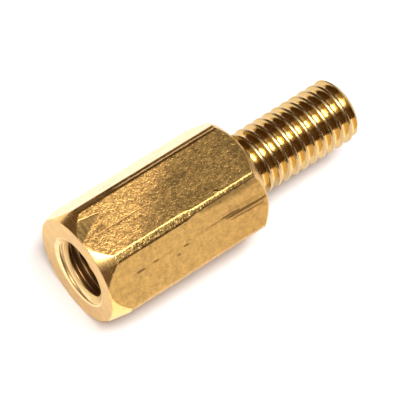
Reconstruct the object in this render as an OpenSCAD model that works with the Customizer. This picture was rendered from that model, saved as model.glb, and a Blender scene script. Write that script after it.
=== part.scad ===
// Hex standoff, female to male, turned from one piece of drawn hexagon brass bar.
// It lies on one flat with its axis along X. The stud points to +X and the threaded
// hole opens to -X. The origin is on the axis, in the shoulder plane where the stud
// leaves the hexagon.

/* [Hexagon body] */
// Width of the hexagon across its flats, which is the wrench size
across_flats = 5; // [4:0.1:8]
// Length of the hexagon from the female end to the shoulder
body_l = 8.5; // [5:0.5:30]
// What the worn corners of the drawn bar lose, along the radius
corner_break = 0.075; // [0.02:0.005:0.2]

/* [Turned ends] */
// How far the rim of the female end reaches past the flats, along the radius
lead_rim_over = 0.025; // [0.005:0.005:0.05]
// Length of the slender taper behind the female end
lead_taper_l = 0.85; // [0.2:0.05:1.5]
// How far the rim of the shoulder stays inside the flats, along the radius
shoulder_rim_under = 0.02; // [0.005:0.005:0.2]
// Length of the steep taper in front of the shoulder
shoulder_taper_l = 0.4; // [0.1:0.05:1.5]

/* [Thread, the same at both ends] */
// Outer diameter of the thread
thread_d = 3; // [2:0.1:4]
// Pitch of the thread
thread_pitch = 0.5; // [0.35:0.05:0.8]

/* [Threaded hole] */
// Metal left between the point of the drilled hole and the shoulder
hole_web = 0.75; // [0.3:0.05:3]
// Included angle of the drill point at the bottom of the hole
drill_point_angle = 118; // [90:1:140]
// How far the countersink reaches past the thread, along the radius
countersink_over = 0.1; // [0.05:0.01:0.3]
// Included angle of the countersink
countersink_angle = 90; // [60:5:120]

/* [Stud] */
// Length of the stud from the shoulder to its tip
stud_l = 6; // [3:0.5:20]
// Size of the 45 degree chamfer at the tip
tip_chamfer = 0.2; // [0.05:0.05:0.5]

/* [Hidden] */

brass = [0.83, 0.65, 0.36];
turned_fn = 96;

// Hexagon: the distance from its axis to a sharp corner and to a worn one
sharp_corner_r = across_flats / 2 / cos(30);
corner_r = sharp_corner_r - corner_break;

// Rims of the two end faces
lead_rim_r = across_flats / 2 + lead_rim_over;
shoulder_rim_r = across_flats / 2 - shoulder_rim_under;

// Thread of 60 degrees: each crest keeps a flat of an eighth of the pitch, and the
// tapping drill is the outer diameter less the pitch
thread_r = thread_d / 2;
thread_depth = 0.6134 * thread_pitch;
half_crest = thread_pitch / 16;
flank_l = thread_depth * tan(30);
ridges = floor(stud_l / thread_pitch);

// Hole: the wall is what the tapping drill leaves
hole_r = (thread_d - thread_pitch) / 2;
drill_point_l = hole_r / tan(drill_point_angle / 2);
hole_depth = body_l - hole_web - drill_point_l;
countersink_r = thread_r + countersink_over;
countersink_l = (countersink_r - hole_r) / tan(countersink_angle / 2);

// How far a cutting shape runs past the surface that it cuts, and how far a shape
// that is added starts inside the one that carries it
through = 0.5;

// Lays a shape that is drawn along +Z along +X, with its foot at x
module along_x(x = 0) {
    translate([x, 0, 0]) rotate([0, 90, 0]) children();
}

// Drawn bar: a hexagon prism that ends up with two of its flats level
module hex_bar() {
    rotate([0, 0, 30]) cylinder(r = sharp_corner_r, h = body_l, $fn = 6);
}

// What the lathe and the wear leave of the bar: rim, slender taper, worn corners,
// steep taper, rim. Its cones draw the curved edges where they cross the flats.
module turned_envelope() {
    rotate_extrude($fn = turned_fn)
        polygon([
            [0, 0],
            [lead_rim_r, 0],
            [corner_r, lead_taper_l],
            [corner_r, body_l - shoulder_taper_l],
            [shoulder_rim_r, body_l],
            [0, body_l]
        ]);
}

// Blind hole for the thread, with its countersink and its drill point
module threaded_hole() {
    rotate_extrude($fn = turned_fn)
        polygon([
            [0, -through],
            [countersink_r, -through],
            [countersink_r, 0],
            [hole_r, countersink_l],
            [hole_r, hole_depth],
            [0, hole_depth + drill_point_l]
        ]);
}

// Half section of the groove that follows the crest at height z, and of the next crest
function groove_points(z) = [
    [thread_r, z + half_crest],
    [thread_r - thread_depth, z + half_crest + flank_l],
    [thread_r - thread_depth, z + thread_pitch - half_crest - flank_l],
    [thread_r, z + thread_pitch - half_crest]
];

// Stud with its thread ridges one pitch apart, right up to the shoulder. The chamfer
// of the tip cuts across the last of them.
module threaded_stud() {
    grooves = [for (i = [0 : ridges - 1]) each groove_points(i * thread_pitch)];
    intersection() {
        rotate_extrude($fn = turned_fn)
            polygon(concat(
                [[0, -through], [thread_r, -through]],
                grooves,
                [[thread_r, stud_l], [0, stud_l]]
            ));
        rotate_extrude($fn = turned_fn)
            polygon([
                [0, -through],
                [thread_r + through, -through],
                [thread_r + through, stud_l - tip_chamfer - through],
                [thread_r - tip_chamfer, stud_l],
                [0, stud_l]
            ]);
    }
}

module standoff() {
    color(brass)
        difference() {
            union() {
                along_x(-body_l)
                    intersection() {
                        hex_bar();
                        turned_envelope();
                    }
                along_x() threaded_stud();
            }
            along_x(-body_l) threaded_hole();
        }
}

standoff();
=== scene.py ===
import math

import bmesh
import bpy
from mathutils import Matrix, Vector


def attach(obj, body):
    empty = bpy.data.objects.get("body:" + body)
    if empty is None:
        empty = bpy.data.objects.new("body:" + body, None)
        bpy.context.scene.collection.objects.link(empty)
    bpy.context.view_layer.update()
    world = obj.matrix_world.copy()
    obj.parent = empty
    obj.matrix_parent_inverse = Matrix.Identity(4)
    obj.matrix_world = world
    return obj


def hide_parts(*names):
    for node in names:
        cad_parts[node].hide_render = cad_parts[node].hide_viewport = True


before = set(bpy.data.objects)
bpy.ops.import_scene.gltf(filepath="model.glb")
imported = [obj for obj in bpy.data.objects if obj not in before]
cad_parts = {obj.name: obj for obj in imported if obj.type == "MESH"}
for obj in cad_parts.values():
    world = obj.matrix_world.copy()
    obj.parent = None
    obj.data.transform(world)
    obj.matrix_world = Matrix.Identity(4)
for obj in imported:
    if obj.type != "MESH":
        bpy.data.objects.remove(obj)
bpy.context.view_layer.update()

# everything is shaped in millimetres and made metres at the very end
millimetre = 0.001
closeBy = 0.0005        # a vertex this near to a place counts as lying there


def clearSelection():
    if bpy.context.mode != "OBJECT":
        bpy.ops.object.mode_set(mode="OBJECT")
    bpy.ops.object.select_all(action="DESELECT")


def makeActive(piece):
    clearSelection()
    piece.select_set(True)
    bpy.context.view_layer.objects.active = piece


def freshPiece(name):
    # names the primitive that was added last and puts its place and size into its mesh
    piece = bpy.context.object
    piece.name = name
    piece.data.name = name
    bpy.ops.object.transform_apply(location=True, rotation=True, scale=True)
    return piece


def startEditing(piece):
    makeActive(piece)
    bpy.ops.object.mode_set(mode="EDIT")
    bpy.ops.mesh.select_all(action="DESELECT")


def stopEditing():
    bpy.ops.object.mode_set(mode="OBJECT")


def pickVertices(piece, wanted):
    bpy.ops.mesh.select_mode(type="VERT")
    bpy.ops.mesh.select_all(action="DESELECT")
    shape = bmesh.from_edit_mesh(piece.data)
    for vertex in shape.verts:
        vertex.select = wanted(vertex.co)
    shape.select_flush_mode()
    bmesh.update_edit_mesh(piece.data)


def applyModifier(piece, kind, **settings):
    makeActive(piece)
    bpy.ops.object.modifier_add(type=kind)
    modifier = piece.modifiers[-1]
    for name, value in settings.items():
        setattr(modifier, name, value)
    bpy.ops.object.modifier_apply(modifier=modifier.name)


def combine(piece, tool, operation):
    applyModifier(piece, "BOOLEAN", object=tool, operation=operation, solver="MANIFOLD")
    bpy.data.objects.remove(tool)


def outwardAt(angle):
    # angles go round the axis from the top line, towards the viewer's side
    turn = math.radians(angle)
    return Vector((0, -math.sin(turn), math.cos(turn)))


def nearestCorner(angle):
    # flats face every 60 degrees from the top line, and the corners lie halfway between
    return round((angle - 30) / 60) * 60 + 30


def turnedForm(name, stations, sides, centre=(0, 0)):
    # a rod, cut at every station and turned there to its radius
    firstX, lastX = stations[0][0], stations[-1][0]
    clearSelection()
    bpy.ops.mesh.primitive_cylinder_add(
        vertices=sides, radius=1, depth=lastX - firstX,
        location=((firstX + lastX) / 2, 0, 0), rotation=(0, math.pi / 2, 0))
    form = freshPiece(name)
    startEditing(form)
    for x, radius in stations[1:-1]:
        bpy.ops.mesh.select_all(action="SELECT")
        bpy.ops.mesh.bisect(plane_co=(x, 0, 0), plane_no=(1, 0, 0))
    for x, radius in stations:
        pickVertices(form, lambda co: abs(co.x - x) < closeBy)
        bpy.ops.transform.resize(value=(1, radius, radius), center_override=(x, 0, 0))
    bpy.ops.mesh.select_all(action="SELECT")
    bpy.ops.transform.translate(value=(0, *centre))
    stopEditing()
    return form


threadSizes = {
    "pitch": 0.5,
    "crestRadius": 1.5,
    "flankAngle": 30,           # how far a flank leans from square to the axis
    "crestRounding": 0.085,     # what the rounding takes off a sharp crest
    "rootRounding": 0.075,
    "rootProfile": 0.5,         # 0.5 is round, and less is flatter
    "roundingSegments": 7,
    "stepsPerTurn": 144,
    "mergeDistance": 0.0003,
}


def threadedForm(name, firstX, lastX, sizes, grow=0, centre=(0, 0)):
    # one pitch of the section, from flank to flank, is drawn as a line and swept by the Screw modifier
    pitch = threadSizes["pitch"]
    slope = math.tan(math.radians(threadSizes["flankAngle"]))
    sharpHeight = pitch / 2 / slope
    sharpCrest = threadSizes["crestRadius"] + grow + threadSizes["crestRounding"] + sizes["crestLift"]
    # where the sharp crest and the sharp root are along the line
    crestShare, rootShare = 0.25, 0.75
    # the sweep starts and ends more than a turn outside the stretch that is kept
    turnsBefore = math.floor((firstX - sizes["crestAt"]) / pitch) - 1
    turns = math.ceil((lastX - firstX) / pitch) + 3
    startX = sizes["crestAt"] + pitch * (turnsBefore - crestShare)
    clearSelection()
    bpy.ops.mesh.primitive_plane_add(
        size=pitch, location=(startX + pitch / 2, pitch / 2, sharpCrest - sharpHeight / 2))
    thread = freshPiece(name)
    startEditing(thread)
    # one edge of the square stays as the line and is divided into quarters
    pickVertices(thread, lambda co: co.y > pitch / 2)
    bpy.ops.mesh.delete(type="VERT")
    bpy.ops.mesh.select_all(action="SELECT")
    bpy.ops.mesh.subdivide(number_cuts=3)
    crest = (crestShare, sharpHeight / 2, threadSizes["crestRounding"], sizes["crestProfile"])
    root = (rootShare, -sharpHeight / 2, threadSizes["rootRounding"], threadSizes["rootProfile"])
    for share, lift, rounding, profile in (crest, root):
        x = startX + pitch * share
        pickVertices(thread, lambda co: abs(co.x - x) < closeBy)
        bpy.ops.transform.translate(value=(0, 0, lift))
        bpy.ops.mesh.bevel(
            offset=rounding / slope, segments=threadSizes["roundingSegments"], profile=profile,
            affect="VERTICES")
    stopEditing()
    applyModifier(
        thread, "SCREW", axis="X", angle=2 * math.pi, screw_offset=pitch, iterations=turns,
        steps=threadSizes["stepsPerTurn"], render_steps=threadSizes["stepsPerTurn"],
        use_merge_vertices=False)
    startEditing(thread)
    bpy.ops.mesh.select_all(action="SELECT")
    bpy.ops.mesh.remove_doubles(threshold=threadSizes["mergeDistance"])
    bpy.ops.mesh.bisect(plane_co=(firstX, 0, 0), plane_no=(1, 0, 0), use_fill=True, clear_inner=True)
    bpy.ops.mesh.select_all(action="SELECT")
    bpy.ops.mesh.bisect(plane_co=(lastX, 0, 0), plane_no=(1, 0, 0), use_fill=True, clear_outer=True)
    bpy.ops.mesh.select_all(action="SELECT")
    bpy.ops.mesh.normals_make_consistent(inside=False)
    bpy.ops.transform.translate(value=(0, *centre))
    stopEditing()
    return thread


bodySizes = {
    "acrossFlats": 5.0,
    "length": 8.5,
    "leadRim": 2.49,
    "leadTaper": 0.85,
    "shoulderRim": 2.48,
    "shoulderTaper": 0.4,
    "blankRadius": 2.832,       # where both tapers end, just clear of the broken corners
    "blankSides": 160,
    "overshoot": 1.0,           # how far the uncut hexagon and the corner's cutter reach past its ends
    "edgeRounding": 0.045,
    "roundingSegments": 3,
    "roundedFrom": 12,          # edges that turn by more degrees than this are rounded
    "sharpFrom": 16,            # and those that still turn by more are shaded sharp
    # how much is off each corner at the lead end and at the shoulder
    "cornerBreaks": {
        -150: (0.080, 0.074),
        -90: (0.080, 0.076),
        -30: (0.112, 0.105),
        30: (0.062, 0.058),
        90: (0.080, 0.076),
        150: (0.078, 0.080),
    },
    # one corner has more worn off along its front part, and then runs out to the common size
    "deepBreak": {"angle": 30, "depth": 0.108, "levelTo": -4.05, "endsAt": -3.35, "endDepth": 0.03},
}
sharpRadius = bodySizes["acrossFlats"] / 2 / math.cos(math.radians(30))
mouth = -bodySizes["length"]


def hexagonBody():
    clearSelection()
    bpy.ops.mesh.primitive_cylinder_add(
        vertices=6, radius=sharpRadius, depth=bodySizes["length"] + 2 * bodySizes["overshoot"],
        location=(mouth / 2, 0, 0), rotation=(0, math.pi / 2, 0))
    body = freshPiece("hexagonBody")
    startEditing(body)
    for angle, (leadBreak, rearBreak) in bodySizes["cornerBreaks"].items():
        outward = outwardAt(angle)
        along = Vector((bodySizes["length"], 0, 0)) + (leadBreak - rearBreak) * outward
        across = outwardAt(angle + 90)
        bpy.ops.mesh.select_all(action="SELECT")
        bpy.ops.mesh.bisect(
            plane_co=Vector((mouth, 0, 0)) + outward * (sharpRadius - leadBreak),
            plane_no=across.cross(along).normalized(), use_fill=True, clear_outer=True)
    stopEditing()
    combine(body, deepBreakCutter(), "DIFFERENCE")
    blank = turnedForm("latheBlank", [
        (mouth, bodySizes["leadRim"]),
        (mouth + bodySizes["leadTaper"], bodySizes["blankRadius"]),
        (-bodySizes["shoulderTaper"], bodySizes["blankRadius"]),
        (0, bodySizes["shoulderRim"]),
    ], bodySizes["blankSides"])
    combine(body, blank, "INTERSECT")
    return body


def deepBreakCutter():
    # a block a millimetre high and wide, with its underside where the corner is cut off
    deepBreak = bodySizes["deepBreak"]
    end = deepBreak["endsAt"]
    start = mouth - bodySizes["overshoot"]
    underside = sharpRadius - deepBreak["depth"]
    clearSelection()
    bpy.ops.mesh.primitive_cube_add(
        size=1, location=((start + end) / 2, 0, underside + 0.5), scale=(end - start, 1, 1))
    cutter = freshPiece("deepBreak")
    startEditing(cutter)
    bpy.ops.mesh.select_all(action="SELECT")
    bpy.ops.mesh.bisect(plane_co=(deepBreak["levelTo"], 0, 0), plane_no=(1, 0, 0))
    pickVertices(cutter, lambda co: co.x > end - closeBy and co.z < underside + closeBy)
    bpy.ops.transform.translate(value=(0, 0, deepBreak["depth"] - deepBreak["endDepth"]))
    stopEditing()
    makeActive(cutter)
    cutter.rotation_euler.x = math.radians(deepBreak["angle"])
    bpy.ops.object.transform_apply(rotation=True)
    return cutter


# small nicks struck on the long edges: place along, angle round, how deep, length and skew
nicks = [
    {"x": -2.25, "angle": 14, "depth": 0.030, "length": 0.13, "skew": 35},
    {"x": -3.42, "angle": 12, "depth": 0.018, "length": 0.10, "skew": -30},
    {"x": -2.80, "angle": -21, "depth": 0.026, "length": 0.12, "skew": 40},
    {"x": -5.30, "angle": 47, "depth": 0.014, "length": 0.10, "skew": 20},
    {"x": -1.60, "angle": 100, "depth": 0.024, "length": 0.16, "skew": 25},
    {"x": -6.10, "angle": -97, "depth": 0.024, "length": 0.18, "skew": -25},
    {"x": -3.90, "angle": 160, "depth": 0.026, "length": 0.14, "skew": 30},
    {"x": -5.20, "angle": -141, "depth": 0.022, "length": 0.12, "skew": -20},
]
nickTool = {"sides": 5, "thickness": 0.4}


def strikeNicks(body):
    for nick in nicks:
        nearest = nearestCorner(nick["angle"])
        cornerBreak = sum(bodySizes["cornerBreaks"][nearest]) / 2
        lean = math.radians(nick["angle"] - nearest)
        # distance to the edge between the flat and the corner's own face, along the nick's angle
        halfFace = cornerBreak * math.tan(math.radians(60))
        edge = (sharpRadius - cornerBreak) * math.cos(lean) + halfFace * abs(math.sin(lean))
        clearSelection()
        bpy.ops.mesh.primitive_cylinder_add(
            vertices=nickTool["sides"], radius=nick["length"], depth=nickTool["thickness"],
            location=(nick["x"], 0, edge - nick["depth"] + nickTool["thickness"] / 2),
            rotation=(0, 0, math.radians(nick["skew"])))
        tool = freshPiece("nick")
        makeActive(tool)
        tool.rotation_euler.x = math.radians(nick["angle"])
        bpy.ops.object.transform_apply(rotation=True)
        combine(body, tool, "DIFFERENCE")


holeSizes = {
    "countersinkRadius": 1.67,
    "countersinkDepth": 0.27,
    "drillRadius": 1.25,
    "drillDepth": 7.0,
    "drillPoint": 0.75,
    "drillTip": 0.01,
    "drillSides": 128,
    "drillStart": 0.5,              # how far the drill reaches out of the mouth
    "threadDepth": 6.0,
    "tapStart": 0.4,                # and how far the tap does
    "tapOversize": 0.10,
    "offCentre": (-0.11, 0.045),    # the drill wandered a little, across and up
    "crestAt": 0.355,               # where a crest crosses the top line
    "crestProfile": 0.5,            # a round crest, at its full height
    "crestLift": 0.0,
}


def cutHole(body):
    countersinkEnd = mouth + holeSizes["countersinkDepth"]
    drillEnd = mouth + holeSizes["drillDepth"]
    drill = turnedForm("drill", [
        (mouth - holeSizes["drillStart"], holeSizes["countersinkRadius"]),
        (mouth, holeSizes["countersinkRadius"]),
        (countersinkEnd, holeSizes["drillRadius"]),
        (drillEnd, holeSizes["drillRadius"]),
        (drillEnd + holeSizes["drillPoint"], holeSizes["drillTip"]),
    ], holeSizes["drillSides"], holeSizes["offCentre"])
    combine(body, drill, "DIFFERENCE")


studSizes = {
    "length": 6.0,
    "sunk": 0.4,                # how far it starts inside the hexagon
    "overshoot": 0.4,           # how far the thread runs on past the tip, before the tip is cut
    "tipChamfer": 0.2,
    "tipSides": 128,
    "tipClearance": 0.1,        # between the crests and the form that cuts the tip
    "neckEnd": 0.08,            # so far from the shoulder the grooves are filled
    "neckBelowCrest": 0.03,
    "runOutEnd": 0.45,          # and from there they get deeper up to here
    "runOutRadius": 1.15,
    "crestAt": 0.381,           # where a crest crosses the top line
    "crestProfile": 0.34,       # worn flatter than the round crest of the tap
    "crestLift": 0.022,         # what the flatter crest would lose in height
}


def threadedStud():
    length, sunk = studSizes["length"], studSizes["sunk"]
    stud = threadedForm("stud", -sunk, length + studSizes["overshoot"], studSizes)
    crest = threadSizes["crestRadius"]
    chamfer, clearance = studSizes["tipChamfer"], studSizes["tipClearance"]
    tip = turnedForm("tip", [
        (-sunk - clearance, crest + clearance),
        (length - chamfer - clearance, crest + clearance),
        (length, crest - chamfer),
    ], studSizes["tipSides"])
    combine(stud, tip, "INTERSECT")
    neckRadius = crest - studSizes["neckBelowCrest"]
    runOut = turnedForm("runOut", [
        (-sunk, neckRadius),
        (studSizes["neckEnd"], neckRadius),
        (studSizes["runOutEnd"], studSizes["runOutRadius"]),
    ], studSizes["tipSides"])
    combine(stud, runOut, "UNION")
    return stud


def flattenEnds(body):
    # the rounding leaves a few vertices a hair outside the end face and the flats
    half = bodySizes["acrossFlats"] / 2
    startEditing(body)
    pickVertices(body, lambda co: co.x < mouth)
    bpy.ops.transform.resize(value=(0, 1, 1), center_override=(mouth, 0, 0))
    for angle in range(0, 360, 60):
        outward = outwardAt(angle)
        pickVertices(body, lambda co: co.dot(outward) > half)
        bpy.ops.transform.resize(
            value=(1, 1, 0), center_override=outward * half, orient_type="GLOBAL",
            orient_matrix=(outwardAt(angle + 90), (1, 0, 0), outward), orient_matrix_type="GLOBAL")
    stopEditing()


def shapeStandoff():
    body = hexagonBody()
    cutHole(body)
    print("hexagon body and drilled hole shaped")
    applyModifier(
        body, "BEVEL", width=bodySizes["edgeRounding"], segments=bodySizes["roundingSegments"],
        limit_method="ANGLE", angle_limit=math.radians(bodySizes["roundedFrom"]), use_clamp_overlap=False)
    flattenEnds(body)
    strikeNicks(body)
    print("edges rounded and nicked")
    tap = threadedForm(
        "tap", mouth - holeSizes["tapStart"], mouth + holeSizes["threadDepth"], holeSizes,
        grow=holeSizes["tapOversize"], centre=holeSizes["offCentre"])
    combine(body, tap, "DIFFERENCE")
    combine(body, threadedStud(), "UNION")
    print("threads cut")
    body.name = body.data.name = "turnedStandoff"
    makeActive(body)
    bpy.ops.transform.resize(value=(millimetre,) * 3, center_override=(0, 0, 0))
    bpy.ops.object.transform_apply(location=True, rotation=True, scale=True)
    bpy.ops.object.shade_smooth_by_angle(angle=math.radians(bodySizes["sharpFrom"]))
    applyModifier(body, "WEIGHTED_NORMAL", mode="FACE_AREA", keep_sharp=True)
    return body


class Wire:
    # wraps one output socket, so that sums written with it add Math nodes beside it
    def __init__(self, socket):
        self.socket = socket

    def node(self, kind, settings=None, sockets=None, output=0):
        tree = self.socket.id_data
        made = tree.nodes.new(kind)
        for name, value in (settings or {}).items():
            setattr(made, name, value)
        for name, value in (sockets or {}).items():
            if isinstance(value, Wire):
                tree.links.new(value.socket, made.inputs[name])
            else:
                made.inputs[name].default_value = value
        return Wire(made.outputs[output])

    def math(self, operation, *terms):
        return self.node("ShaderNodeMath", {"operation": operation}, dict(enumerate(terms)))

    def __add__(self, other):
        return self.math("ADD", self, other)

    __radd__ = __add__

    def __sub__(self, other):
        return self.math("SUBTRACT", self, other)

    def __rsub__(self, other):
        return self.math("SUBTRACT", other, self)

    def __mul__(self, other):
        return self.math("MULTIPLY", self, other)

    __rmul__ = __mul__

    def __truediv__(self, other):
        return self.math("DIVIDE", self, other)

    def __rtruediv__(self, other):
        return self.math("DIVIDE", other, self)

    def __pow__(self, power):
        return self.math("POWER", self, power)

    def __rpow__(self, base):
        return self.math("POWER", base, self)

    def clipped(self):
        return self.node("ShaderNodeClamp", None, {"Value": self})

    def rise(self, low, high):
        # 0 below low and 1 above high, or the other way round where low is the larger
        return self.node("ShaderNodeMapRange", {"interpolation_type": "SMOOTHSTEP"}, {
            "Value": self, "From Min": low, "From Max": high})

    def blend(self, first, second):
        # a colour between two, by this factor
        return self.node("ShaderNodeMix", {"data_type": "RGBA"}, {0: self, 6: first, 7: second}, 2)

    def tint(self, colour):
        # this colour times another, or times a value
        return self.node("ShaderNodeMix", {"data_type": "RGBA", "blend_type": "MULTIPLY"}, {
            0: 1.0, 6: self, 7: colour}, 2)

    def vector(self, operation, *terms, output=0):
        return self.node("ShaderNodeVectorMath", {"operation": operation}, dict(enumerate(terms)), output)

    def dot(self, direction):
        return self.vector("DOT_PRODUCT", self, tuple(direction), output=1)

    def fromAxis(self):
        return self.vector("LENGTH", self.vector("MULTIPLY", self, (0, 1, 1)), output=1)

    def pack(self, second):
        return self.node("ShaderNodeCombineXYZ", None, {0: self, 1: second})

    def moved(self, scale, turn=(0, 0, 0)):
        return self.node("ShaderNodeMapping", None, {
            "Vector": self, "Scale": scale, "Rotation": [math.radians(angle) for angle in turn]})

    def noise(self, scale, detail=2.0, roughness=0.5):
        # from about -0.5 to 0.5
        return self.node("ShaderNodeTexNoise", None, {
            "Vector": self, "Scale": scale, "Detail": detail, "Roughness": roughness}) - 0.5

    def stroke(self, start, end, width):
        # 1 within a fifth of the width from the line and 0 past half of it; both ends taper away
        reach = Vector((*end, 0)) - Vector((*start, 0))
        offset = self.vector("SUBTRACT", self, (*start, 0))
        share = offset.dot(reach / reach.length_squared).clipped()
        foot = share.node("ShaderNodeVectorMath", {"operation": "SCALE"}, {0: reach, "Scale": share})
        distance = offset.vector("DISTANCE", offset, foot, output=1)
        taper = (share * (1 - share) * 4 + 0.02) ** 0.5
        return (distance / (taper * width)).rise(0.55, 0.2)

    def strokes(self, marks):
        # the strongest of several strokes at each place, and 0 where there is none
        strongest = self.dot((0, 0, 0))
        for start, end, width, strength in marks:
            strongest = strongest.math("MAXIMUM", strongest, self.stroke(start, end, width) * strength)
        return strongest


def startFinish(name):
    # the new finish, its shader, and the place on the piece in millimetres
    finish = bpy.data.materials.new(name)
    finish.use_nodes = True
    shader = finish.node_tree.nodes["Principled BSDF"]
    shader.inputs["Metallic"].default_value = 1.0
    place = Wire(finish.node_tree.nodes.new("ShaderNodeTexCoord").outputs["Object"])
    place = place.node("ShaderNodeVectorMath", {"operation": "SCALE"}, {0: place, "Scale": 1 / millimetre})
    return finish, shader, place


def connect(shader, colour, roughness, height):
    # the height is in millimetres
    tree = shader.id_data
    tree.links.new(colour.socket, shader.inputs["Base Color"])
    tree.links.new(roughness.socket, shader.inputs["Roughness"])
    bump = height.node("ShaderNodeBump", None, {"Height": height, "Distance": millimetre, "Strength": 1.0})
    tree.links.new(bump.socket, shader.inputs["Normal"])


# cut metal first, then the drawn skin of the flats, and then the dark places, which are scratches, tarnish
# and painted shade, and the worn ones
brassColours = {
    "turned": (0.66, 0.44, 0.170, 1),
    # painted light: lighter than the turned colour of the face, to brighten the countersink
    "ring": (0.95, 0.72, 0.38, 1),
    "edge": (0.68, 0.45, 0.17, 1),
    "taper": (0.92, 0.60, 0.215, 1),
    "thread": (0.78, 0.565, 0.245, 1),
    "sandy": (0.87, 0.505, 0.160, 1),
    "olive": (0.44, 0.272, 0.086, 1),
    "satin": (0.585, 0.364, 0.113, 1),
    "brown": (0.56, 0.335, 0.10, 1),
    "pale": (0.90, 0.70, 0.42, 1),
    # painted shade for the inside of the hole
    "holeShade": (0.26, 0.115, 0.040, 1),
    "scratch": (0.21, 0.110, 0.034, 1),
    "worn": (0.54, 0.375, 0.17, 1),
    # tarnish on the rubbed patch and the corners' hatch, and painted shade on the shoulder face, the tip's
    # chamfer and one flank of the stud's thread
    "tarnishAndShade": (0.42, 0.29, 0.10, 1),
    "burr": (0.84, 0.54, 0.165, 1),
}

# each flat by the angle it faces. Marks are scratches, smudges are faint and burrs stand up:
# all as (start, end, width, strength), with places along and across the flat
plainFlat = {
    "front": "satin", "rear": "satin", "changeAt": -4.2, "changeOver": 2.0, "lean": 0.0,
    "grain": 0.0042, "rearGrain": 0.0042, "grainScale": 8.0, "roughness": 0.38, "rearRoughness": 0.38,
    "mottle": 0.38, "lines": 0.12, "streaks": 0.14, "rubbed": 0, "marks": [], "smudges": [], "burrs": [],
}
flatLooks = {
    # the top flat is lighter at the front and darker at the rear: partly its real grain, and partly painted
    # light, as the front catches more of the lamp
    0: {
        **plainFlat, "front": "sandy", "rear": "olive", "changeAt": -4.8, "changeOver": 2.8, "lean": 1.5,
        "grain": 0.0120, "rearGrain": 0.0100, "grainScale": 12.0, "roughness": 0.27, "rearRoughness": 0.22,
        "mottle": 0.25, "lines": 0.25, "streaks": 0.0, "rubbed": 1,
        "marks": [
            ((-8.10, -0.93), (-6.95, -0.76), 0.08, 0.8),
            ((-8.45, 0.03), (-4.60, 0.05), 0.05, 0.7),
            ((-6.50, 0.82), (-5.90, 0.92), 0.05, 0.7),
        ],
        "smudges": [
            ((-5.20, -0.20), (-2.70, -0.27), 0.55, 0.22),
            ((-7.70, -0.06), (-7.10, -0.22), 0.32, 0.40),
            ((-8.40, 0.08), (-5.60, 0.10), 0.30, 0.20),
            ((-4.20, 0.90), (-1.80, 0.85), 0.60, 0.18),
            ((-0.30, -1.70), (-0.30, 1.70), 1.10, 0.22),
        ],
        "burrs": [
            ((-4.80, -1.17), (-3.70, -1.19), 0.07, 0.6),
            ((-2.86, -1.12), (-2.70, -1.04), 0.13, 1.0),
            ((-2.42, 1.19), (-2.12, 1.31), 0.26, 1.0),
            ((-3.50, 1.27), (-3.36, 1.33), 0.12, 0.8),
        ],
    },
    60: {
        **plainFlat, "rear": "brown", "changeAt": -1.8, "changeOver": 3.0, "lean": 0.8,
        "marks": [
            ((-7.02, -0.24), (-6.55, -0.22), 0.17, 0.9),
            ((-7.25, -0.22), (-6.90, -0.23), 0.05, 0.4),
            ((-6.12, -0.26), (-5.82, -0.24), 0.15, 0.8),
            ((-5.80, -0.25), (-5.05, -0.23), 0.06, 0.35),
            ((-4.55, -0.11), (-4.24, -0.08), 0.15, 0.9),
            ((-4.92, 0.11), (-4.78, 0.16), 0.18, 0.7),
            ((-4.30, -0.30), (-4.18, -0.25), 0.08, 0.4),
            ((-4.27, -1.16), (-4.16, -1.06), 0.11, 0.6),
            ((-3.95, -0.25), (-3.40, -0.24), 0.05, 0.3),
            ((-3.35, -0.27), (-2.10, -0.25), 0.06, 0.6),
            ((-2.50, -0.29), (-1.45, -0.22), 0.15, 1.0),
            ((-2.25, -0.15), (-0.05, -0.07), 0.19, 1.0),
            ((-2.10, 0.02), (-0.20, 0.15), 0.10, 0.8),
        ],
        "smudges": [
            ((-2.40, -0.42), (-0.20, -0.28), 0.30, 0.18),
            ((-2.60, -0.20), (-0.10, -0.02), 0.45, 0.12),
            ((-7.60, 1.00), (-5.20, 0.85), 0.35, 0.06),
            ((-3.60, -1.36), (0.60, -1.20), 0.75, 0.45),
        ],
    },
    -60: {
        # painted reflection: paler than the other flats, as this flat is seen at a grazing angle and mirrors
        # the white floor
        **plainFlat, "front": "pale", "rear": "pale", "mottle": 0.15,
        "marks": [((-6.20, 0.35), (-5.10, 0.30), 0.07, 0.7), ((-2.90, -0.40), (-1.70, -0.52), 0.06, 0.7)],
    },
    120: {
        **plainFlat,
        "marks": [((-5.60, 0.20), (-3.10, 0.44), 0.08, 0.8), ((-2.10, -0.62), (-1.30, -0.58), 0.06, 0.7)],
    },
    180: {
        **plainFlat, "front": "olive", "rear": "satin", "grain": 0.0030,
        "marks": [((-7.30, 0.52), (-5.90, 0.40), 0.07, 0.8), ((-3.80, -0.35), (-2.60, -0.20), 0.09, 0.9)],
    },
    -120: {
        **plainFlat,
        "marks": [((-4.90, -0.60), (-4.20, -0.55), 0.09, 0.8), ((-7.00, 0.10), (-5.80, 0.22), 0.06, 0.7)],
    },
}

# a patch near the lead end is rubbed smooth, with a straight edge on both sides: how far each edge
# leans along the flat, and where the rubbing starts and is full
rubbedPatch = {
    "upperLean": -0.10, "upper": (-0.10, -0.05),
    "lowerLean": 0.56, "lower": (-4.66, -4.76),
    "grainLoss": 0.5, "tarnishAndShade": 0.6, "shade": -0.15, "streakShade": 1.8, "polish": 0.05,
}

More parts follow.
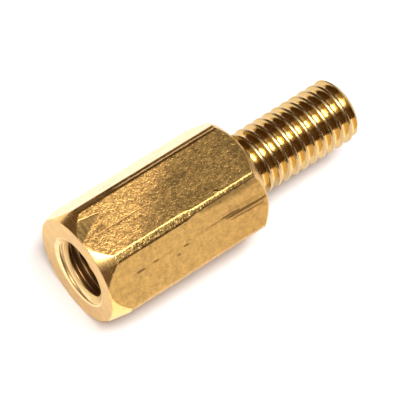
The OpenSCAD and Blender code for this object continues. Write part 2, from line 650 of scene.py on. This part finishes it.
# what all six flats share. A shade lightens or darkens the colour, a dullness adds to the roughness,
# and depths and heights are in millimetres
drawnLook = {
    "driftScale": 1.1,
    "drift": 2.5,               # how far the change from front to rear wanders
    "waverScale": 3.0,
    "waver": 0.10,              # and how far a scratch does
    "flakeScale": 0.55,         # the coarse grain, beside the fine one
    "flakes": 1.2,
    "grainShade": 130,          # for each millimetre of its height
    "mottleScale": 1.7,
    "mottleDullness": 0.05,
    "blotchScale": 4.2,
    "blotchShade": 0.6,
    "speckScale": 4.5,
    "speckEdge": (0.20, 0.26),
    "speckShade": 0.25,
    "lineScale": 8.0,
    "lineStretch": (0.10, 1, 1),
    "lineDepth": 0.0020,
    "streakScale": 7.0,
    "streakStretch": (1, 0.14, 1),
    "streakTurn": (0, 0, 28),
    "streakDepth": 0.0016,
    "scratchDullness": 0.15,
    "scratchDepth": 0.006,
    "burrHeight": 0.09,
}


def flatFinish(angle):
    look = flatLooks[angle]
    finish, shader, place = startFinish("drawnFlat%d" % (angle % 360))
    along = place.dot((1, 0, 0))
    across = place.dot(outwardAt(angle + 90))
    halfChange = look["changeOver"] / 2
    drift = place.noise(drawnLook["driftScale"]) * drawnLook["drift"]
    rear = (along + across * look["lean"] + drift).rise(
        look["changeAt"] - halfChange, look["changeAt"] + halfChange)
    fineGrain = place.noise(look["grainScale"], 3.0, 0.62)
    flakes = place.noise(look["grainScale"] * drawnLook["flakeScale"], 2.0, 0.6) * drawnLook["flakes"]
    mottle = place.noise(drawnLook["mottleScale"], 3.0, 0.6)
    blotch = place.noise(drawnLook["blotchScale"])
    specks = place.noise(drawnLook["speckScale"], 1.0).rise(*drawnLook["speckEdge"])
    lines = place.moved(drawnLook["lineStretch"]).noise(drawnLook["lineScale"], 2.0, 0.6)
    streaks = along.pack(across).moved(drawnLook["streakStretch"], drawnLook["streakTurn"])
    streaks = streaks.noise(drawnLook["streakScale"], 2.0, 0.6)
    unsteady = along.pack(across + place.noise(drawnLook["waverScale"]) * drawnLook["waver"])
    scratched = unsteady.strokes(look["marks"])
    smudged = unsteady.strokes(look["smudges"])
    raised = unsteady.strokes(look["burrs"])
    upper = (across + along * rubbedPatch["upperLean"]).rise(*rubbedPatch["upper"])
    lower = (across + along * rubbedPatch["lowerLean"]).rise(*rubbedPatch["lower"])
    rubbed = upper * lower * look["rubbed"]
    grainDepth = rear * (look["rearGrain"] - look["grain"]) + look["grain"]
    grain = (fineGrain + flakes) * grainDepth * (1 - rubbed * rubbedPatch["grainLoss"])
    shade = mottle * look["mottle"] + lines * look["lines"] + streaks * look["streaks"] + 1
    shade = shade + blotch * look["mottle"] * drawnLook["blotchShade"] + grain * drawnLook["grainShade"]
    colour = rear.blend(brassColours[look["front"]], brassColours[look["rear"]])
    colour = colour.tint(shade - specks * drawnLook["speckShade"] - smudged)
    colour = scratched.blend(colour, brassColours["scratch"])
    colour = raised.blend(colour, brassColours["burr"])
    colour = (rubbed * rubbedPatch["tarnishAndShade"]).blend(colour, brassColours["tarnishAndShade"])
    colour = colour.tint(rubbed * (streaks * rubbedPatch["streakShade"] + rubbedPatch["shade"]) + 1)
    roughness = rear * (look["rearRoughness"] - look["roughness"]) + look["roughness"]
    roughness = roughness + mottle * drawnLook["mottleDullness"] - rubbed * rubbedPatch["polish"]
    roughness = roughness + scratched * drawnLook["scratchDullness"]
    height = grain + lines * drawnLook["lineDepth"] + streaks * drawnLook["streakDepth"]
    height = height - scratched * drawnLook["scratchDepth"] + raised * drawnLook["burrHeight"]
    connect(shader, colour, roughness, height)
    return finish


# the narrow face on each corner, with the marks that the drawing die left on it
plainCorner = {
    "dark": 0.35, "hatchScale": 8.0, "hatchTurn": 30, "depth": 0.008, "roughness": 0.34,
    "darkEdge": 9,              # far outside the face, so that it has none
    "ridge": 0.0, "leadLight": 0.0,
}
cornerLooks = {
    30: {
        **plainCorner, "dark": 0.85, "hatchScale": 12.0, "hatchTurn": 25, "depth": 0.050, "roughness": 0.28,
        "darkEdge": 0.10, "leadLight": 0.4,
    },
    -30: {
        **plainCorner, "dark": 0.45, "hatchScale": 7.0, "hatchTurn": 20, "depth": 0.004, "roughness": 0.26,
        "ridge": 0.016,
    },
}

# what the corners share, in the same terms as the flats
cornerMarks = {
    "hatchStretch": (1, 0.25, 1),
    "hatchEdge": (-0.06, 0.10),
    "lineScale": 9.0,
    "lineStretch": (0.15, 1, 1),
    "lineShade": 0.5,
    "lineDullness": 0.2,
    "lineDepth": 0.002,
    "waverScale": 4.0,
    "waver": 0.06,
    "edgeOver": (-0.02, 0.03),      # how the dark edge comes in
    "edgeShare": 0.8,
    "leadOver": (-5.0, -7.5),       # where a corner gets lighter towards the lead end
    "stepAcross": (0.0, 0.075),     # a step that the die left, across the corner ...
    "stepAlong": (-6.1, -5.3),      # ... and where it starts along it
}


def between(first, second, share):
    # part of the way from one brass colour to another
    pairs = zip(brassColours[first], brassColours[second])
    return tuple(a + (b - a) * share for a, b in pairs)


def cornerFinish(angle):
    look = cornerLooks.get(angle, plainCorner)
    finish, shader, place = startFinish("drawnCorner%d" % (angle % 360))
    along = place.dot((1, 0, 0))
    across = place.dot(outwardAt(angle + 90))
    hatch = along.pack(across).moved(cornerMarks["hatchStretch"], (0, 0, look["hatchTurn"]))
    hatch = hatch.noise(look["hatchScale"], 3.0, 0.6)
    lines = place.moved(cornerMarks["lineStretch"]).noise(cornerMarks["lineScale"], 2.0, 0.6)
    unsteady = across + place.noise(cornerMarks["waverScale"]) * cornerMarks["waver"]
    edge = (unsteady - look["darkEdge"]).rise(*cornerMarks["edgeOver"])
    colour = hatch.rise(*cornerMarks["hatchEdge"]).blend(
        between("brown", "tarnishAndShade", look["dark"]), between("brown", "burr", look["dark"]))
    colour = (edge * cornerMarks["edgeShare"]).blend(colour, brassColours["scratch"])
    lead = along.rise(*cornerMarks["leadOver"]) * look["leadLight"]
    colour = colour.tint(lines * cornerMarks["lineShade"] + lead + 1)
    roughness = lines * cornerMarks["lineDullness"] + look["roughness"]
    step = unsteady.rise(*cornerMarks["stepAcross"])
    step = step * (along + place.noise(2.0)).rise(*cornerMarks["stepAlong"])
    height = hatch * look["depth"] + lines * cornerMarks["lineDepth"] + step * look["ridge"]
    connect(shader, colour, roughness, height)
    return finish


turnedLook = {
    "ringScale": 16.0,          # tool marks in a millimetre of radius
    "ringAlong": 0.5,           # what a step along the axis counts beside one of radius, on the tapers
    "ringShade": 0.30,
    "ringDepth": 0.0020,
    "gritScale": 14.0,
    "gritShade": 0.35,
    "gritDepth": 0.0020,
    "mottleScale": 2.2,
    "mottleShade": 0.45,
    "satinEdge": (0.05, 0.3),
    "rubScale": 5.0,
    "rubStretch": (0.3, 0.3, 1),
    "rubTurn": (35, 0, 0),
    "rubShade": 0.40,
    "dullness": 0.14,           # of the rings and the mottle
}
turnedFinishes = {
    "turnedFace": {"colour": "turned", "roughness": 0.36},
    # the countersink's lighter colour is painted light
    "countersunkRing": {"colour": "ring", "roughness": 0.30},
    "turnedShoulder": {"colour": "edge", "roughness": 0.34},
    # painted shade: the shoulder face, in the corner beside the stud, and the tip's chamfer are made darker
    # than the other turned faces
    "shoulderFace": {"colour": "tarnishAndShade", "roughness": 0.34},
    "turnedTaper": {"colour": "taper", "roughness": 0.25},
}


def turnedFinish(name):
    # faces and tapers cut on the lathe, with fine rings round the axis
    look = turnedFinishes[name]
    finish, shader, place = startFinish(name)
    along = place.dot((1, 0, 0))
    rings = (place.fromAxis() + along * turnedLook["ringAlong"]).pack(0.0)
    rings = rings.noise(turnedLook["ringScale"], 2.0, 0.7)
    mottle = place.noise(turnedLook["mottleScale"], 3.0, 0.6)
    grit = place.noise(turnedLook["gritScale"], 2.0, 0.6)
    rubs = place.moved(turnedLook["rubStretch"], turnedLook["rubTurn"]).noise(turnedLook["rubScale"])
    shade = mottle * turnedLook["mottleShade"] + rings * turnedLook["ringShade"]
    shade = shade + rubs * turnedLook["rubShade"] + grit * turnedLook["gritShade"] + 1
    colour = mottle.rise(*turnedLook["satinEdge"]).blend(brassColours[look["colour"]], brassColours["satin"])
    colour = colour.tint(shade)
    roughness = (mottle + rings) * turnedLook["dullness"] + look["roughness"]
    height = rings * turnedLook["ringDepth"] + grit * turnedLook["gritDepth"]
    connect(shader, colour, roughness, height)
    return finish


# dark is how far the painted shade in the hole comes in past the first turn, wornFrom the radius where the
# wear of the crests begins, and flankShade how far the flank that faces the hexagon is dulled and darkened
# by painted shade
threadFinishes = {
    "studThread": {
        "crestAt": studSizes["crestAt"], "dark": 0.0, "wornFrom": 1.442, "flankShade": 0.6, "roughness": 0.115,
    },
    "boreThread": {
        "crestAt": holeSizes["crestAt"], "dark": 0.74, "flankShade": 0.0, "roughness": 0.38,
        "wornFrom": 3.0,        # outside the thread, so that nothing in the hole is worn
    },
}
threadLook = {
    "holeShadeFrom": (0.25, 0.50),     # how deep in the hole its painted shade starts and is full
    "holeShadeTo": (0.0, -0.1),        # where along the axis it is gone and full again, because a few
                                    # faces at the root of the stud have the hole's finish
    "wearOver": 0.022,              # from bright to worn, in millimetres of radius
    "flankStarts": (0.60, 0.68),    # in shares of a pitch past the crest
    "flankEnds": (0.90, 0.84),
    "flankCalm": 0.8,               # how much smoother that flank is
    "flankRoughness": 0.15,
    "crestRoughness": 0.24,
    "lineScale": 13.0,
    "lineShade": 0.20,
    "lineDullness": 0.12,
    "lineDepth": 0.0045,
    "waveScale": 4.0,
    "waveDepth": 0.0065,
    "mottleScale": 3.0,
    "mottleShade": 0.24,
    "mottleDullness": 0.10,
    "gritScale": 16.0,
    "gritShade": 0.12,
    "gritDullness": 0.25,
    "gritDepth": 0.0015,
    "raggedWear": (0.02, 0.05),     # how far grit and mottle move the edge of the wear
    "raggedFlank": 0.06,            # and how far the mottle moves the flank's
}


def threadFinish(name):
    # bright in the grooves, dulled and darkened by painted shade on the flank that faces the hexagon, and
    # dullest on worn crests
    look = threadFinishes[name]
    finish, shader, place = startFinish(name)
    along = place.dot((1, 0, 0))
    radius = place.fromAxis()
    lines = along.pack(radius).noise(threadLook["lineScale"], 2.0, 0.7)
    waves = place.noise(threadLook["waveScale"])
    mottle = place.noise(threadLook["mottleScale"], 3.0, 0.6)
    grit = place.noise(threadLook["gritScale"], 2.0, 0.6)
    deep = (along - mouth).rise(*threadLook["holeShadeFrom"]) * along.rise(*threadLook["holeShadeTo"])
    byGrit, byMottle = threadLook["raggedWear"]
    worn = (radius + grit * byGrit + mottle * byMottle).rise(
        look["wornFrom"], look["wornFrom"] + threadLook["wearOver"])
    # the share of a pitch since the last crest, the same all along the helix
    turn = place.math("ARCTAN2", place.dot((0, -1, 0)), place.dot((0, 0, 1)))
    turns = (along - look["crestAt"]) / threadSizes["pitch"] - turn / (2 * math.pi)
    share = turns.math("FRACT", turns) + mottle * threadLook["raggedFlank"]
    facing = share.rise(*threadLook["flankStarts"]) * share.rise(*threadLook["flankEnds"])
    flank = facing * look["flankShade"]
    # painted shade, growing towards the inside of the hole
    colour = (deep * look["dark"]).blend(brassColours["thread"], brassColours["holeShade"])
    colour = worn.blend(colour, brassColours["worn"])
    # painted shade on the flank that faces the hexagon, to dim the highlight there
    colour = flank.blend(colour, brassColours["tarnishAndShade"])
    shade = mottle * threadLook["mottleShade"] + lines * threadLook["lineShade"]
    colour = colour.tint(shade + grit * threadLook["gritShade"] + 1)
    roughness = mottle * threadLook["mottleDullness"] + lines * threadLook["lineDullness"]
    roughness = roughness + grit * threadLook["gritDullness"] + look["roughness"]
    roughness = roughness + worn * (threadLook["crestRoughness"] - look["roughness"])
    roughness = roughness + flank * (threadLook["flankRoughness"] - look["roughness"])
    height = lines * threadLook["lineDepth"] + waves * threadLook["waveDepth"]
    height = (height + grit * threadLook["gritDepth"]) * (1 - facing * threadLook["flankCalm"])
    connect(shader, colour, roughness, height)
    return finish


# where one finish ends and the next begins: places are in millimetres, and facing is how much of a
# face's normal points along the axis
finishBorders = {
    "square": 0.95,             # the facing of the shoulder and the tip's end
    "tipFace": 0.01,            # how near to their planes they lie
    "shoulder": 0.02,
    "tipChamfer": 0.05,         # room behind the chamfer
    "chamferFacing": 0.3,
    "countersinkDeep": 0.5,     # how deep and how far out the countersink can reach
    "countersinkBeside": 0.03,
    "countersinkFacing": 0.5,
    "firstTurn": 0.02,          # deeper than this, the first turn of the thread lies inside a cone
    "firstTurnRadius": 1.56,
    "firstTurnTaper": 0.3,
    "rimRounding": 0.005,       # less deep than this, the mouth's rim belongs to the end face
    "insideHexagon": 2.0,       # everything within this radius is hole
    "endFacing": 0.7,
    "taperFacing": 0.12,
    "flatSwing": 14,            # how many degrees a flat's finish goes round its rounded edges
}


def finishInMouth(depth, fromBoreAxis):
    borders = finishBorders
    coneRadius = borders["firstTurnRadius"] - depth * borders["firstTurnTaper"]
    if depth > borders["firstTurn"] and fromBoreAxis < coneRadius:
        return "boreThread"
    return "countersunkRing" if depth > borders["rimRounding"] else "turnedFace"


def finishOnHexagon(normal):
    borders = finishBorders
    if abs(normal.x) > borders["endFacing"]:
        return "turnedFace"
    if abs(normal.x) > borders["taperFacing"]:
        return "turnedTaper" if normal.x < 0 else "turnedShoulder"
    angle = math.degrees(math.atan2(-normal.y, normal.z))
    nearest = round(angle / 60) * 60
    if abs(angle - nearest) < borders["flatSwing"]:
        return 180 if nearest == -180 else nearest
    return nearestCorner(angle)


def finishOf(centre, normal):
    # which finish a face gets, from where it is and the way it faces
    borders = finishBorders
    tipEnd = studSizes["length"]
    if normal.x > borders["square"] and centre.x > tipEnd - borders["tipFace"]:
        return "turnedFace"
    if normal.x > borders["square"] and abs(centre.x) < borders["shoulder"]:
        return "shoulderFace"
    chamferStart = tipEnd - studSizes["tipChamfer"] - borders["tipChamfer"]
    # the tip's chamfer gets the shoulder face's painted shade
    if centre.x > chamferStart and normal.x > borders["chamferFacing"]:
        return "shoulderFace"
    if centre.x > borders["shoulder"]:
        return "studThread"
    depth = centre.x - mouth
    fromBoreAxis = (centre.yz - Vector(holeSizes["offCentre"])).length
    besideBore = holeSizes["countersinkRadius"] + borders["countersinkBeside"]
    inCountersink = depth < borders["countersinkDeep"] and fromBoreAxis < besideBore
    if inCountersink and normal.x < -borders["countersinkFacing"]:
        return finishInMouth(depth, fromBoreAxis)
    if centre.yz.length < borders["insideHexagon"]:
        return "boreThread"
    return finishOnHexagon(normal)


def finishStandoff(standoff):
    finishes = {name: turnedFinish(name) for name in turnedFinishes}
    finishes.update({name: threadFinish(name) for name in threadFinishes})
    finishes.update({angle: flatFinish(angle) for angle in flatLooks})
    finishes.update({angle: cornerFinish(angle) for angle in bodySizes["cornerBreaks"]})
    names = list(finishes)
    standoff.data.materials.clear()
    for name in names:
        standoff.data.materials.append(finishes[name])
    for face in standoff.data.polygons:
        face.material_index = names.index(finishOf(face.center / millimetre, face.normal))
    print("finishes made:", len(names))


standoff = shapeStandoff()
finishStandoff(standoff)
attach(standoff, "root")
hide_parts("standoff")

floorLook = {
    "size": 4.0,
    "paper": (0.86, 0.86, 0.86, 1),     # how light the floor is for the light that it passes on
    "seen": (0.95, 0.915, 0.90, 1),     # and how light it is where it is looked at or mirrored
}


def layFloor():
    clearSelection()
    bpy.ops.mesh.primitive_plane_add(
        size=floorLook["size"], location=(0, 0, -bodySizes["acrossFlats"] / 2 * millimetre))
    floor = bpy.context.object
    floor.name = "floor"
    finish = bpy.data.materials.new("paper")
    finish.use_nodes = True
    tree = finish.node_tree
    tree.nodes.clear()
    rays = tree.nodes.new("ShaderNodeLightPath")
    seen = Wire(rays.outputs["Is Camera Ray"]) + Wire(rays.outputs["Is Glossy Ray"])
    seen = (seen + Wire(rays.outputs["Is Transmission Ray"])).clipped()
    colour = seen.blend(floorLook["paper"], floorLook["seen"])
    surface = colour.node("ShaderNodeBsdfDiffuse", None, {"Color": colour})
    output = tree.nodes.new("ShaderNodeOutputMaterial")
    tree.links.new(surface.socket, output.inputs["Surface"])
    floor.data.materials.append(finish)


layFloor()

scene = bpy.context.scene
scene.view_settings.view_transform = "Standard"

# a long soft box overhead, with its length along the standoff: a bright middle in two wider, dimmer parts
lampSettings = {
    "room": (0.107, 0.060, 0.036, 1),       # dim and warm, for the dark mirror images
    "height": 0.30,
    "parts": [
        {"name": "softBoxMiddle", "along": (-0.17, 0.15), "across": (-0.125, 0.003), "radiance": 10.2},
        {"name": "softBoxSurround", "along": (-0.34, 0.17), "across": (-0.150, 0.036), "radiance": 2.0},
        {"name": "softBoxEdge", "along": (-0.48, 0.36), "across": (-0.205, 0.165), "radiance": 0.46},
    ],
}

# a white card beside the lead end, lighting the face and softening the shadow there
cardSettings = {
    "away": 0.45,
    "height": 0.17,
    "size": (0.50, 0.24),
    "radiance": 0.4,
}


def dimTheRoom():
    world = bpy.data.worlds.new("room")
    scene.world = world
    world.use_nodes = True
    world.node_tree.nodes["Background"].inputs["Color"].default_value = lampSettings["room"]


def hangPanel(name, place, size, radiance, turn=(0, 0, 0)):
    clearSelection()
    bpy.ops.object.light_add(type="AREA", location=place, rotation=turn)
    panel = bpy.context.object
    panel.name = name
    panel.data.shape = "RECTANGLE"
    panel.data.size, panel.data.size_y = size
    panel.data.energy = radiance * math.pi * size[0] * size[1]


def hangLamps():
    for part in lampSettings["parts"]:
        (startX, endX), (startY, endY) = part["along"], part["across"]
        place = ((startX + endX) / 2, (startY + endY) / 2, lampSettings["height"])
        hangPanel(part["name"], place, (endX - startX, endY - startY), part["radiance"])
    hangPanel(
        "whiteCard", (-cardSettings["away"], 0, cardSettings["height"]), cardSettings["size"],
        cardSettings["radiance"], turn=(math.pi / 2, 0, -math.pi / 2))


dimTheRoom()
hangLamps()
print("floor and lamps placed")

cameraSettings = {
    "azimuth": -50.0,
    "elevation": 60.3,
    "roll": 14.0,
    "distance": 0.123,
    "framePixels": 400,
    "focalPixels": 2844,        # focal length, in pixels of that frame
    "sensorWidth": 36,
    "aim": (-0.002, 0, 0),
    "offset": (-3, -4),         # how many pixels the aimed point lies from the middle of the frame
}


def placeCamera():
    azimuth, elevation, roll = (
        math.radians(cameraSettings[key]) for key in ("azimuth", "elevation", "roll"))
    level = Vector((math.cos(azimuth), math.sin(azimuth), 0))
    towards = Vector((math.sin(azimuth), -math.cos(azimuth), 0))
    back = towards * math.cos(elevation) + Vector((0, 0, math.sin(elevation)))
    rise = back.cross(level)
    right = math.cos(roll) * level + math.sin(roll) * rise
    up = -math.sin(roll) * level + math.cos(roll) * rise
    distance, focal = cameraSettings["distance"], cameraSettings["focalPixels"]
    offsetX, offsetY = cameraSettings["offset"]
    aim = Vector(cameraSettings["aim"]) + (up * offsetY - right * offsetX) * distance / focal
    bpy.ops.object.camera_add()
    camera = bpy.context.object
    turn = Matrix((right, up, back)).transposed().to_4x4()
    camera.matrix_world = Matrix.Translation(aim + back * distance) @ turn
    camera.data.sensor_width = cameraSettings["sensorWidth"]
    camera.data.lens = focal * cameraSettings["sensorWidth"] / cameraSettings["framePixels"]
    camera.data.clip_start = 0.001
    camera.data.clip_end = 10
    scene.camera = camera


placeCamera()
